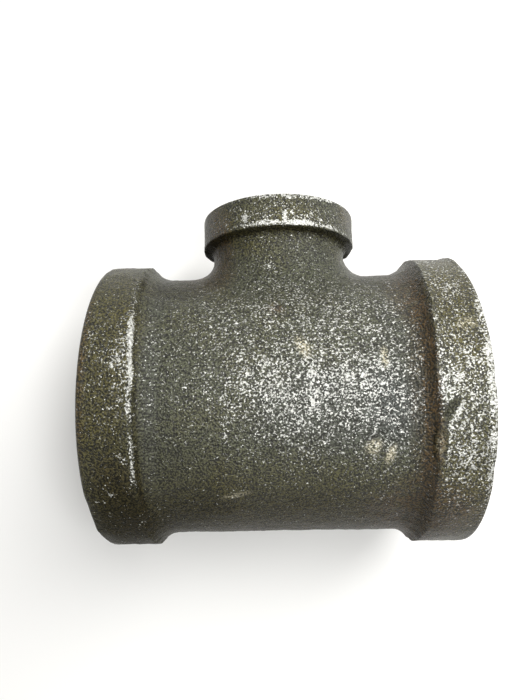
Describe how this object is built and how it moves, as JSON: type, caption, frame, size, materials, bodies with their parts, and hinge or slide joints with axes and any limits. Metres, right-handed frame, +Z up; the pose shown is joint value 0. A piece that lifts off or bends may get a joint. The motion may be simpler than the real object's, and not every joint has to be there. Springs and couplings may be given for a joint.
{
  "type": "reducing pipe tee",
  "caption": "Cast-iron screwed pipe tee: a straight run with a banded threaded port at each end and a smaller threaded branch square to it.",
  "frame": {"origin": "where the axis of the run crosses the axis of the branch", "axes": "+X along the run, +Y out of the small branch, +Z up, with the tee lying on its side"},
  "size_m": [0.068, 0.0675, 0.057],
  "materials": {
    "cast_iron": "dark as-cast skin with a coarse sand grain and worn bands"
  },
  "bodies": {
    "root": {"tee_casting": "cast_iron"}
  },
  "joints": []
}
